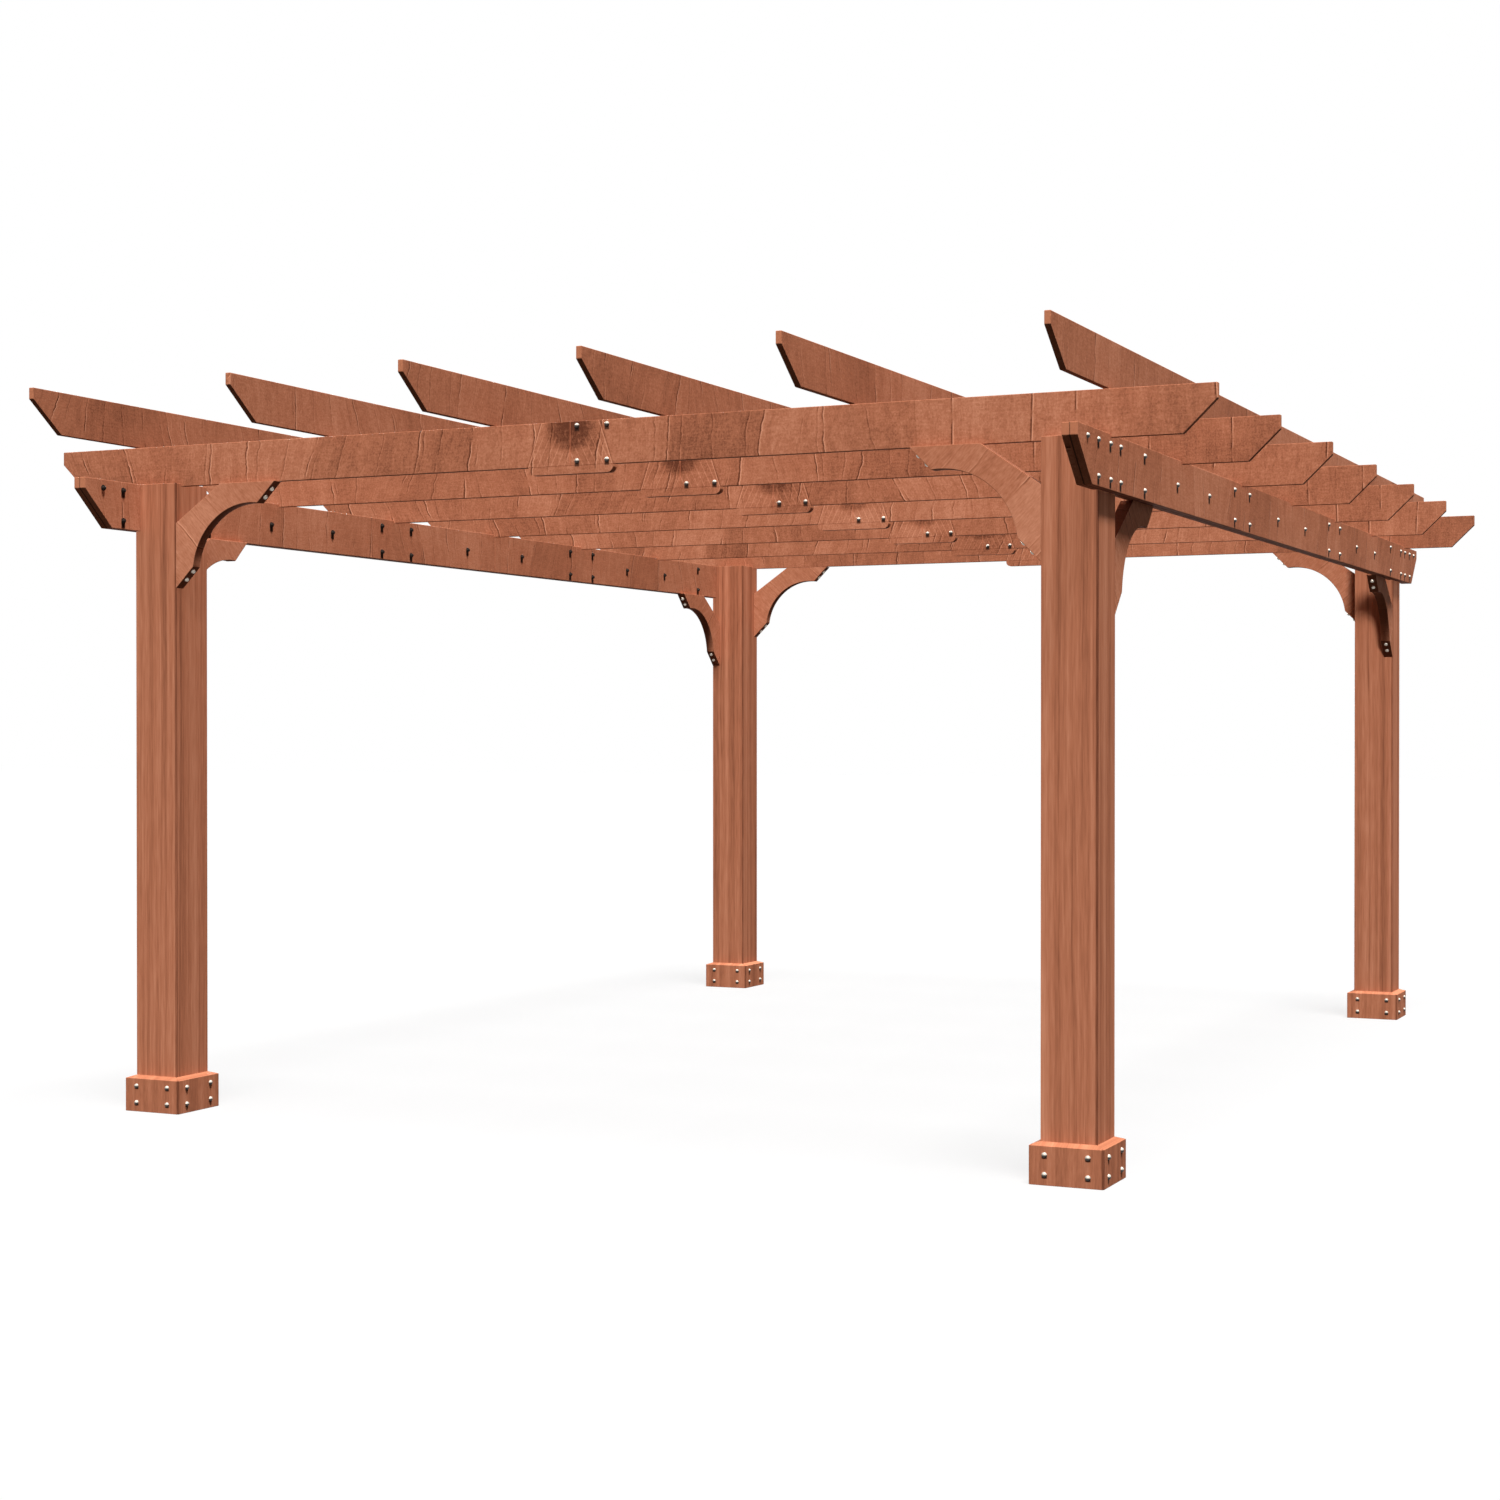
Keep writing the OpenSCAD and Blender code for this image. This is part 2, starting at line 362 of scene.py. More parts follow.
class Finish:
    """A node tree, with one method that makes every node."""

    def __init__(self, tree):
        self.tree = tree
        tree.nodes.clear()

    def node(self, kind, settings=None, inputs=None, output=0):
        made = self.tree.nodes.new(kind)
        for name, value in (settings or {}).items():
            setattr(made, name, value)
        for key, value in (inputs or {}).items():
            if isinstance(value, Link):
                self.tree.links.new(value.socket, made.inputs[key])
            else:
                made.inputs[key].default_value = value
        return Link(self, made.outputs[output]) if made.outputs else None

    def place(self):
        """The three coordinates of the surface point in the shared frame."""
        point = self.node("ShaderNodeTexCoord", output="Object")
        split = {"Vector": point}
        return [self.node("ShaderNodeSeparateXYZ", None, split, axis) for axis in "XYZ"]

    def noise(self, point, waves, seed=0.0, detail=2.0, rough=0.5):
        """Noise about one half, with so many waves per metre along each part of a point."""
        x, y, z = (part * wave for part, wave in zip(point, waves))
        vector = self.node("ShaderNodeCombineXYZ", None, {"X": x, "Y": y, "Z": z + seed})
        inputs = {"Vector": vector, "Scale": 1.0, "Detail": detail, "Roughness": rough}
        return self.node("ShaderNodeTexNoise", None, inputs)

    def chance(self, value):
        """A fixed random number from 0 to 1 for each value."""
        return self.node("ShaderNodeTexWhiteNoise", {"noise_dimensions": "1D"}, {"W": value})

    def blend(self, share, first, second):
        settings = {"data_type": "RGBA", "clamp_factor": True}
        inputs = {0: share, 6: color(first), 7: color(second)}
        return self.node("ShaderNodeMix", settings, inputs, 2)

    def outward(self, axis, kind="True Normal"):
        """How far a face looks along an axis, from -1 to 1."""
        normal = self.node("ShaderNodeNewGeometry", output=kind)
        return self.node("ShaderNodeSeparateXYZ", None, {"Vector": normal}, axis)

    def facing(self, axis):
        """How squarely a face looks along an axis, either way, from 0 to 1."""
        return abs(self.outward(axis))

    def surface(self, tint, roughness, height, depth, **values):
        """Close the finish with one shader, its bump worked out from a height from 0 to 1."""
        bump = self.node("ShaderNodeBump", None, {"Height": height, "Distance": depth, "Strength": 1.0})
        inputs = {"Base Color": tint, "Roughness": roughness, "Normal": bump}
        inputs.update({name.replace("_", " "): value for name, value in values.items()})
        shader = self.node("ShaderNodeBsdfPrincipled", None, inputs)
        self.node("ShaderNodeOutputMaterial", None, {"Surface": shader})


def color(value):
    """A colour as a socket takes it, or a link as it is."""
    return value if isinstance(value, Link) else (*value, 1.0)


def new_finish(name):
    material = bpy.data.materials.new(name)
    material.use_nodes = True
    return material, Finish(material.node_tree)


# Wood

def layered(mean, *layers):
    """A mean, moved by how far each layer departs from one half, times its share."""
    level = mean
    for layer, share in layers:
        level = level + (layer - 0.5) * share
    return level


def board_seed(place, apart):
    """A number of its own for each board of a row."""
    return (place / apart + 0.5).floor() * SEED_STEP


def growth_lines(finish, along, seed, spacing):
    """Thin lines across a board at uneven spacing: a dark side, a pale side and each stretch's tone."""
    cells = along / spacing
    cell = cells.floor()
    line = LINE_FIRST + LINE_SPREAD * finish.chance(cell + seed)
    past = (cells.fract() - line) * spacing
    dark = past.ease(-LINE_WIDTH, 0.0) * past.ease(LINE_TURN, 0.0)
    pale = past.ease(0.0, LINE_TURN) * past.ease(LINE_WIDTH, LINE_TURN)
    tone = finish.chance(cell + seed + past.over(0.0) + TONE_SEED)
    return dark, pale, tone


def cross_grain(finish, along, across, up, seed, sway=1.0):
    """Cedar figure as on the long boards: fine streaks across the board and swaying growth lines."""
    point = (along, up, across)
    lean = finish.noise((along, seed, LEAN_SLICE), LEAN_WAVES, detail=SOFT_DETAIL) - 0.5
    bow = finish.noise(point, BOW_WAVES, seed) - 0.5
    jag = finish.noise(point, JAG_WAVES, seed) - 0.5
    bent = along + (lean * LINE_LEAN * up + bow * LINE_BOW + jag * LINE_JAG) * sway
    bent_point = (bent, up, across)
    dark, pale, tone = growth_lines(finish, bent, seed, COARSE_LINES)
    fine_dark, fine_pale, fine_tone = growth_lines(finish, bent + FINE_SHIFT, seed + FINE_SEED, FINE_LINES)
    fade = finish.noise((along, up, seed), FADE_WAVES).ease(*FADE_EDGE)
    streak = finish.noise(bent_point, STREAK_WAVES, seed, detail=FINE_DETAIL, rough=STREAK_ROUGH)
    level = layered(
        0.5,
        (streak, STREAK_SHARE),
        (finish.noise(point, HATCH_WAVES, seed), HATCH_SHARE),
        (finish.noise(bent_point, BAND_WAVES, seed), BAND_SHARE),
        (finish.noise(point, CLOUD_WAVES, seed), CLOUD_SHARE),
        (finish.noise(point, SPECK_WAVES, rough=SPECK_ROUGH), SPECK_SHARE),
        (tone, TONE_SHARE),
        (fine_tone, FINE_TONE_SHARE),
    )
    fine = FINE_PALE_SHARE * fine_pale - FINE_DARK_SHARE * fine_dark
    level = level + fade * (LINE_SHARE * (pale - dark) + fine * sway)
    height = layered(0.5, (streak, STREAK_HEIGHT)) + fade * LINE_HEIGHT * (pale - dark)
    return level, height


def stain(finish, level):
    """Deep stain at 0, the plain stain in the middle and pale wood at 1."""
    low = finish.blend(level * 2.0, CEDAR_DEEP, CEDAR)
    return finish.blend(level * 2.0 - 1.0, low, CEDAR_PALE)


def close_wood(finish, tint, level, height, depth):
    """Close a wood's finish: pale wood is a little smoother than dark."""
    rough = WOOD_ROUGH - WOOD_POLISH * level
    finish.surface(tint, rough, height, depth, Specular_IOR_Level=WOOD_GLOSS)


def painted_shade_up_down(finish, tint, edge):
    """Painted shade: faces that look up or down are blended towards the deep stain colour."""
    return finish.blend(UP_DOWN_SHADE * finish.facing("Z").ease(*edge), tint, CEDAR_DEEP)


def painted_bolt_shadow(beside, z, rows, half_width, length):
    """Painted shadow that falls straight down from bolts; beside is how far the nearest column of bolts
    is.
    """
    run = None
    for row in rows:
        below = row - z
        here = below.ease(0.0, SHADOW_START) * below.ease(length, SHADOW_SOLID * length)
        run = here if run is None else run.largest(here)
    return run * beside.ease(half_width, SHADOW_CORE * half_width)


def nearest(value, places):
    """How far a value is from the nearest of several places."""
    gaps = [abs(value - place) for place in places]
    near = gaps[0]
    for gap in gaps[1:]:
        near = near.smallest(gap)
    return near


def board_tint(finish, level, length_axis, across, z, seed, shadows_and_seam=0.0):
    """The stain on a board's sides with painted shadows below bolts and the beams' dark ply seam, lighter
    end grain on its noses, and painted shade on faces that look up or down.
    """
    end = finish.facing(length_axis).ease(*END_EDGE)
    ring = finish.noise((across, z, seed), RING_WAVES)
    # The sides darken with painted shadows below bolts, and on the beams with the dark ply seam
    side = finish.blend(shadows_and_seam, stain(finish, level), SHADE_AND_SEAM_DARK)
    face = finish.blend(end * (END_STAIN + END_RING * ring), side, CEDAR_END)
    return painted_shade_up_down(finish, face, BOARD_SHADE_FACING)


def purlin_wood(name, middle, apart):
    """Finish of the purlins."""
    material, finish = new_finish(name)
    x, y, z = finish.place()
    seed = board_seed(x, apart)
    level, height = cross_grain(finish, y, x, z - middle, seed)
    level = layered(0.5, (level, SIDE_CONTRAST))
    close_wood(finish, board_tint(finish, level, "Y", x, z, seed), level, height, BOARD_RELIEF)
    return material


def beam_wood(name, low, high):
    """Finish of the beams, with painted shadows below the bolts and a dark seam between the plies."""
    material, finish = new_finish(name)
    x, y, z = finish.place()
    seed = board_seed(x, high.x - low.x)
    middle = (low.z + high.z) / 2
    level, height = cross_grain(finish, y, x, z - middle, seed)
    level = layered(0.5, (level, SIDE_CONTRAST))
    rows = (low.z + BEAM_BOLT_EDGE, high.z - BEAM_BOLT_EDGE)
    # Painted shadows below the bolt pairs and singles, joined below with the dark seam between the plies
    pairs = painted_bolt_shadow(nearest(abs(y), BEAM_PAIRS), z, rows, BEAM_SHADOW_HALF_WIDTH, BEAM_SHADOW_LENGTH)
    singles = painted_bolt_shadow(nearest(abs(y), BEAM_SINGLES), z, (middle,), BEAM_SHADOW_HALF_WIDTH, BEAM_SHADOW_LENGTH)
    seam = abs(abs(x) - low.x).ease(PLY_SEAM, PLY_SEAM_CORE * PLY_SEAM)
    shadows_and_seam = BEAM_SHADOW_AND_SEAM_DARK * pairs.largest(singles).largest(seam)
    close_wood(finish, board_tint(finish, level, "Y", x, z, seed, shadows_and_seam), level, height, BOARD_RELIEF)
    return material


def rafter_wood(name, low, high, joint, apart):
    """Finish of the rafters and their plates: matched figure about the butt joint."""
    material, finish = new_finish(name)
    x, y, z = finish.place()
    seed = board_seed(y, apart)
    above = z - (low.z + high.z) / 2
    sway = CALM_SWAY + (1.0 - CALM_SWAY) * x.ease(CALM_TO, CALM_FROM)
    level, height = cross_grain(finish, x, y, above, seed, sway)
    level = layered(FRONT_MEAN, (level, FRONT_CONTRAST))
    front = finish.outward("Y").ease(*FRONT_EDGE)
    level = level + front * splice_figure(finish, x - joint, above, (high.z - low.z) / 2)
    columns = [joint + step for step in SPLICE_BOLT_STEPS]
    rows = (low.z + SPLICE_BOLT_EDGE, high.z - SPLICE_BOLT_EDGE)
    # Painted shadows below the splice bolts
    shadows_and_seam = SMALL_SHADOW_DARK * painted_bolt_shadow(nearest(x, columns), z, rows, SMALL_SHADOW_HALF_WIDTH, SPLICE_SHADOW_LENGTH)
    close_wood(finish, board_tint(finish, level, "X", y, z, seed, shadows_and_seam), level, height, BOARD_RELIEF)
    return material


def splice_figure(finish, beside, above, half):
    """Change of level about a rafter's butt joint: a dark knot, and pale lines that fan out downwards."""
    depth = FAN_APEX - above
    slant = abs(beside) / depth
    past = (slant - FAN_SLANT) * depth
    outer = FAN_PALE * past.ease(-FAN_LINE, 0.0) * past.ease(FAN_LINE, 0.0)
    outer = outer - FAN_DARK * past.ease(0.0, FAN_LINE) * past.ease(FAN_DARK_LINES * FAN_LINE, FAN_LINE)
    chevron = abs(beside) - CHEVRON_SLOPE * (KNOT_UP - above)
    step = abs((chevron / CHEVRON_STEP).fract() - 0.5) * CHEVRON_STEP
    inner = CHEVRON_PALE * step.ease(FAN_LINE, 0.0) * slant.ease(FAN_SLANT, CHEVRON_SIDE * FAN_SLANT)
    inner = inner * above.ease(CHEVRON_FROM, CHEVRON_TO)
    wide = beside / KNOT_HALF_WIDTH
    tall = (KNOT_UP - above) / KNOT_HALF_HEIGHT
    knot = (wide * wide + tall * tall).ease(KNOT_EDGE, KNOT_CORE)
    cloud = finish.noise((beside, above, 0.0), KNOT_WAVES)
    patch = PATCH_DARK * above.ease(PATCH_FROM, PATCH_TO) * slant.ease(FAN_SLANT, PATCH_SIDE * FAN_SLANT)
    lines = (outer + inner * (1.0 - KNOT_HIDES * knot)) * above.over(-half)
    return lines - knot * (KNOT_DARK + KNOT_CLOUD * cloud) - patch


def post_wood(name, low, high):
    """Finish of the posts: long streaks up the post, fine pores, wide soft bands and a dark arris."""
    material, finish = new_finish(name)
    x, y, z = finish.place()
    wander = (finish.noise((x, y, z), POST_WANDER_WAVES) - 0.5) * POST_WANDER
    point = (x + wander, y + wander, z)
    band = finish.noise(point, POST_BAND_WAVES)
    streak = finish.noise(point, POST_STREAK_WAVES, detail=FINE_DETAIL, rough=UPRIGHT_ROUGH)
    pore = finish.noise(point, POST_PORE_WAVES)
    seam = finish.noise(point, POST_SEAM_WAVES, detail=SOFT_DETAIL).ease(*POST_SEAM_EDGE)
    level = layered(
        POST_MEAN,
        (band, POST_BAND_SHARE),
        (streak, POST_STREAK_SHARE),
        (pore, POST_PORE_SHARE),
    )
    level = level - seam * POST_SEAM_SHARE - POST_ARRIS_SHARE * dark_arris(x, y, low, high)
    height = layered(0.5, (streak, UPRIGHT_STREAK_HEIGHT), (pore, UPRIGHT_PORE_HEIGHT))
    # Painted shade on the post's faces that look up or down
    close_wood(finish, painted_shade_up_down(finish, stain(finish, level), BOARD_SHADE_FACING), level, height, POST_RELIEF)
    return material


def dark_arris(x, y, low, high):
    """1 along two opposite corners of each post or skirt, and 0 away from them."""
    middle = (low + high) / 2
    half = (high.x - low.x) / 2
    beside = x - (2.0 * x.over(0.0) - 1.0) * middle.x
    behind = y - (2.0 * y.over(0.0) - 1.0) * middle.y
    inward = (half - abs(beside)).largest(half - abs(behind))
    return inward.ease(ARRIS_CLEAR, ARRIS_DARK) * (beside * behind).ease(0.0, -ARRIS_TURN * half * half)


def brace_wood(name, reach_axis, top):
    """Finish of the knee braces: the figure lies across the slope of the brace."""
    material, finish = new_finish(name)
    x, y, z = finish.place()
    reach, across = (x, y) if reach_axis == "X" else (y, x)
    inward = abs(reach)
    along = (z - inward) * math.sqrt(0.5)
    up = (z - top + inward - BRACE_REACH) * math.sqrt(0.5)
    seed = reach.over(0.0) * BRACE_SEEDS[0] + across.over(0.0) * BRACE_SEEDS[1]
    level, height = cross_grain(finish, along, across, up * BRACE_SPREAD, seed)
    level = level + BRACE_LIFT
    # Painted shade on the brace's hollow, top slope and cuts, which look up or down
    close_wood(finish, painted_shade_up_down(finish, stain(finish, level), BRACE_SHADE_FACING), level, height, POST_RELIEF)
    return material


def skirt_wood(name, low, high):
    """Finish of the skirt boards: upright figure on the faces and long grain on the bevelled tops."""
    material, finish = new_finish(name)
    x, y, z = finish.place()
    side = finish.facing("X").over(0.5)
    along = x + side * (y - x)
    by_x, by_y, by_side = SKIRT_SEEDS
    seed = (x.over(0.0) * by_x + y.over(0.0) * by_y + side * by_side) * SKIRT_SEED_STEP
    point = (along, seed, z)
    streak = finish.noise(point, SKIRT_STREAK_WAVES, detail=FINE_DETAIL, rough=UPRIGHT_ROUGH)
    pore = finish.noise(point, SKIRT_PORE_WAVES)
    level = layered(
        SKIRT_MEAN,
        (finish.noise(point, SKIRT_BAND_WAVES), SKIRT_BAND_SHARE),
        (streak, SKIRT_STREAK_SHARE),
        (pore, SKIRT_PORE_SHARE),
    )
    level = level - SKIRT_ARRIS_SHARE * dark_arris(x, y, low, high)
    height = layered(0.5, (streak, UPRIGHT_STREAK_HEIGHT), (pore, UPRIGHT_PORE_HEIGHT))
    middle = (low + high) / 2
    centre = middle.x + side * (middle.y - middle.x)
    beside = abs(abs(abs(along) - centre) - SKIRT_BOLT_APART / 2)
    # Painted shadows below the skirt bolts
    shadows_and_seam = SMALL_SHADOW_DARK * painted_bolt_shadow(beside, z, SKIRT_BOLT_ROWS, SMALL_SHADOW_HALF_WIDTH, SKIRT_SHADOW_LENGTH)
    top = finish.facing("Z").ease(*SKIRT_TOP_EDGE)
    grain = finish.noise((along, x + y, seed), SKIRT_TOP_WAVES, detail=FINE_DETAIL)
    face = finish.blend(shadows_and_seam, stain(finish, level), SHADE_AND_SEAM_DARK)
    tint = finish.blend(top * (SKIRT_TOP_STAIN + SKIRT_TOP_GRAIN * grain), face, CEDAR_DEEP)
    close_wood(finish, tint, level, height, POST_RELIEF)
    return material


# Metal

def plated(name, tint, metal, rough, underside_shade, gloss):
    """Zinc or steel with faint spangle and a little wear, and a share of painted shade where it looks
    down.
    """
    material, finish = new_finish(name)
    point = finish.place()
    spangle = finish.noise(point, SPANGLE_WAVES)
    dull = finish.noise(point, DULL_WAVES)
    dark = tuple(METAL_DARK * part for part in tint)
    wear = SPANGLE_SHARE * spangle + DULL_SHARE * dull.ease(*DULL_EDGE)
    # Painted shade on the side of a head that looks down
    under = finish.outward("Z", "Normal").ease(*UNDERSIDE_SHADE_EDGE)
    shade = finish.blend(underside_shade * under, finish.blend(wear, tint, dark), SHADE_AND_SEAM_DARK)
    worn = rough + DULL_ROUGH * dull
    finish.surface(shade, worn, spangle, METAL_RELIEF, Metallic=metal, Specular_IOR_Level=gloss)
    return material


# Dressing the CAD pieces

def soften_edges(piece):
    """Close the split corners of the imported mesh, then round its edges a little."""
    weld = piece.modifiers.new("weld", "WELD")
    weld.merge_threshold = SPLIT_CORNER
    bevel = piece.modifiers.new("round", "BEVEL")
    bevel.width = EDGE_ROUND
    bevel.segments = EDGE_STEPS
    bevel.limit_method = "ANGLE"
    bevel.angle_limit = math.radians(EDGE_ANGLE)
    bevel.harden_normals = True


def dress(prefix, material, suffix=""):
    """Give a material and rounded edges to the nodes whose names start and end as given."""
    for name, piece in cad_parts.items():
        if name.startswith(prefix) and name.endswith(suffix):
            piece.data.materials.clear()
            piece.data.materials.append(material)
            soften_edges(piece)


# Bolts

def turned(profile, steps=TURN_STEPS):
    """Points and faces of a round shape from its (radius, height) profile, which ends on the axis."""
    points = []
    for radius, height in profile[:-1]:
        for step in range(steps):
            angle = math.tau * step / steps
            points.append(Vector((radius * math.cos(angle), radius * math.sin(angle), height)))
    points.append(Vector((0.0, 0.0, profile[-1][1])))
    faces = []
    rings = len(profile) - 1
    for ring in range(rings):
        for step in range(steps):
            here = ring * steps + step
            beside = ring * steps + (step + 1) % steps
            if ring == rings - 1:
                faces.append((here, beside, rings * steps))
            else:
                faces.append((here, beside, beside + steps, here + steps))
    return points, faces


def dome_head():
    """A round bolt head on a thin rim."""
    crown = HEAD_CROWN * HEAD_RADIUS
    profile = [(HEAD_RADIUS, -RIM_RISE), (HEAD_RADIUS, RIM_RISE * RIM_STEP), (crown, RIM_RISE)]
    for step in range(1, DOME_STEPS + 1):
        angle = math.pi / 2 * step / DOME_STEPS
        profile.append((crown * math.cos(angle), RIM_RISE + (HEAD_RISE - RIM_RISE) * math.sin(angle)))
    return [turned(profile)]


def nut_and_washer():
    """A nut on its washer, with the bolt's end standing out of it."""
    washer = [(WASHER_RADIUS, -WASHER_RISE), (WASHER_RADIUS, WASHER_RISE), (0.0, WASHER_RISE)]
    crown = NUT_RISE + WASHER_RISE
    nut = [
        (NUT_RADIUS, 0.0),
        (NUT_RADIUS, crown * NUT_SHOULDER),
        (NUT_RADIUS * NUT_CROWN, crown),
        (0.0, crown),
    ]
    stud = [
        (STUD_RADIUS, 0.0),
        (STUD_RADIUS, STUD_RISE - STUD_CHAMFER),
        (STUD_RADIUS - STUD_CHAMFER, STUD_RISE),
        (0.0, STUD_RISE),
    ]
    return [turned(washer), turned(nut, NUT_SIDES), turned(stud)]


def set_bolts(name, shape, places, material, smooth):
    """One joined mesh with a copy of the shape at each (point, outward direction)."""
    points = []
    faces = []
    for place, outward in places:
        stand = Vector(outward).to_track_quat("Z", "Y").to_matrix().to_4x4()
        move = Matrix.Translation(place) @ stand
        for shape_points, shape_faces in shape:
            start = len(points)
            points.extend(move @ point for point in shape_points)
            faces.extend(tuple(start + index for index in face) for face in shape_faces)
    mesh = bpy.data.meshes.new(name)
    mesh.from_pydata([tuple(point) for point in points], [], faces)
    mesh.polygons.foreach_set("use_smooth", [smooth] * len(faces))
    mesh.materials.append(material)
    piece = bpy.data.objects.new(name, mesh)
    bpy.context.scene.collection.objects.link(piece)
    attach(piece, "root")


def skirt_bolt_places(corner):
    """Two rows of two heads on each of a skirt's four faces."""
    low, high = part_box(f"skirt_{corner}_ends")
    middle = (low + high) / 2
    half = (high.x - low.x) / 2
    places = []
    for height in SKIRT_BOLT_ROWS:
        for side in (-1, 1):
            shift = side * SKIRT_BOLT_APART / 2
            for face in (-1, 1):
                places.append(((middle.x + shift, middle.y + face * half, height), (0, face, 0)))
                places.append(((middle.x + face * half, middle.y + shift, height), (face, 0, 0)))
    return places


def beam_bolt_places(face_x, outward):
    """Pairs and single bolts along one face of a beam, the same towards both ends."""
    low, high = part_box("beam_right_outer_ply")
    rows = (low.z + BEAM_BOLT_EDGE, high.z - BEAM_BOLT_EDGE)
    middle = (low.z + high.z) / 2
    places = []
    for end in (-1, 1):
        for along in BEAM_PAIRS:
            places.extend(((face_x, end * along, row), (outward, 0, 0)) for row in rows)
        places.extend(((face_x, end * along, middle), (outward, 0, 0)) for along in BEAM_SINGLES)
        places.append(((face_x, end * BEAM_END_SINGLE, rows[1]), (outward, 0, 0)))
    return places


def inner_face_clear(place):
    """True where a beam's inner face is open to view, and not seated in a post."""
    low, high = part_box("post_back_right")
    return not low.y < abs(place[1]) < high.y


def splice_bolt_places(front):
    """Four bolts at each plate, in the rafter's right half, on the rafter's front or the plate's back."""
    places = []
    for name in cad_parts:
        if not name.startswith("splice_plate_"):
            continue
        low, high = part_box(name)
        rafter_low, rafter_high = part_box(name.replace("splice_plate", "rafter"))
        joint = (low.x + high.x) / 2
        face = rafter_low.y if front else high.y
        outward = (0, -1, 0) if front else (0, 1, 0)
        for row in (rafter_low.z + SPLICE_BOLT_EDGE, rafter_high.z - SPLICE_BOLT_EDGE):
            places.extend(((joint + step, face, row), outward) for step in SPLICE_BOLT_STEPS)
    return places


def lag_places():
    """Heads behind the splice plates, in the half of the rafter that the front bolts don't reach."""
    low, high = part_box("splice_plate_1")
    behind = splice_bolt_places(front=False)
    return [((low.x + high.x - x, y, z), outward) for (x, y, z), outward in behind]


def brace_bolt_places(name):
    """Two heads on the sloping cut at each end of a brace, in the middle of its thickness."""
    low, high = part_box(name)
    axis = brace_axis(name)
    centre = (low + high) / 2
    toward = -1 if centre[axis] > 0 else 1
    post_face = low[axis] if toward > 0 else high[axis]
    reach = high[axis] - low[axis]
    cut = brace_cut(name)
    places = []
    for shares, run, rise, way in (
        (CUT_BOLT_SHARES_LOW, 0.0, low.z, 1),
        (CUT_BOLT_SHARES_HIGH, reach, high.z, -1),
    ):
        for share in shares:
            point = centre.copy()
            point[axis] = post_face + toward * (run + way * share * cut)
            point.z = rise + way * share * cut
            outward = Vector((0, 0, -1))
            outward[axis] = toward
            places.append((point, outward.normalized()))
    return places


def brace_axis(name):
    """The axis along which a brace reaches: x to a rafter, y to a beam."""
    return 0 if name.endswith("rafter") else 1


def brace_cut(name):
    """Length along the post from a brace's foot to the start of its hollow curve."""
    low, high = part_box(name)
    axis = brace_axis(name)
    points = [vertex.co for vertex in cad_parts[name].data.vertices]
    foot = [point for point in points if point.z < low.z + CUT_NEAR]
    face = foot[0][axis]
    slope = [point for point in points if abs(abs(point[axis] - face) - (point.z - low.z)) < CUT_NEAR]
    return max(point.z for point in slope if point.z < (low.z + high.z) / 2) - low.z


# Stage

def studio():
    """A dim sky over the object, which shows as plain white."""
    world = bpy.context.scene.world or bpy.data.worlds.new("studio")
    bpy.context.scene.world = world
    world.use_nodes = True
    finish = Finish(world.node_tree)
    direction = finish.node("ShaderNodeTexCoord", output="Generated")
    height = finish.node("ShaderNodeSeparateXYZ", None, {"Vector": direction}, "Z")
    dim = height.ease(-SKY_EDGE, SKY_EDGE) * SKY_LEVEL
    sky = finish.node("ShaderNodeBackground", None, {"Color": color(WHITE), "Strength": dim})
    white = finish.node("ShaderNodeBackground", None, {"Color": color(WHITE), "Strength": 1.0})
    mixed = finish.node("ShaderNodeMixShader", None, {0: seen_directly(finish), 1: sky, 2: white})
    finish.node("ShaderNodeOutputWorld", None, {"Surface": mixed})


def lamps(ground):
    """Front, side and back lamps for the object, and one from above for its shadow on the floor.

    The braces under the beams and the back right corner have a front and a side lamp of their own,
    because their shadows in the photograph fall another way."""
    pieces = [piece for piece in bpy.context.scene.objects if piece.type == "MESH"]
    arms = [piece for piece in pieces if piece.name.startswith("brace_")]
    braces = [piece for piece in arms if piece.name.endswith("_beam")]
    corner = [bpy.data.objects[name] for name in CORNER_NODES]
    left_out = [ground] + braces + corner
    for name, level, source, softness, passes, linked, state in (
        ("front_lamp", FRONT_LEVEL, FRONT_FROM, FRONT_SOFTNESS, FRONT_PASSES, left_out, "EXCLUDE"),
        ("side_lamp", SIDE_LEVEL, SIDE_FROM, SIDE_SOFTNESS, SIDE_PASSES, left_out, "EXCLUDE"),
        ("back_lamp", BACK_LEVEL, BACK_FROM, BACK_SOFTNESS, FRONT_PASSES, [ground], "EXCLUDE"),
        ("brace_front", FRONT_LEVEL, FRONT_FROM, FRONT_SOFTNESS, ROOF, braces, "INCLUDE"),
        ("brace_side", BRACE_SIDE_LEVEL, BRACE_SIDE_FROM, SIDE_SOFTNESS, SIDE_PASSES, braces, "INCLUDE"),
        ("corner_front", CORNER_LEVEL, CORNER_FROM, CORNER_SOFTNESS, FRONT_PASSES, corner, "INCLUDE"),
        ("corner_side", CORNER_SIDE_LEVEL, SIDE_FROM, SIDE_SOFTNESS, SIDE_PASSES, corner, "INCLUDE"),
    ):
        light = lamp(name, level, source, softness)
        passed = [piece for piece in pieces if piece.name.startswith(passes)]
        light.light_linking.blocker_collection = group(f"{name}_passes", passed, "EXCLUDE")
        light.light_linking.receiver_collection = group(f"{name}_links", linked, state)
    above = lamp("floor_lamp", FLOOR_LAMP_LEVEL, FLOOR_LAMP_FROM, FLOOR_LAMP_SOFTNESS)
    above.light_linking.receiver_collection = group("floor_lamp_lights", [ground], "INCLUDE")


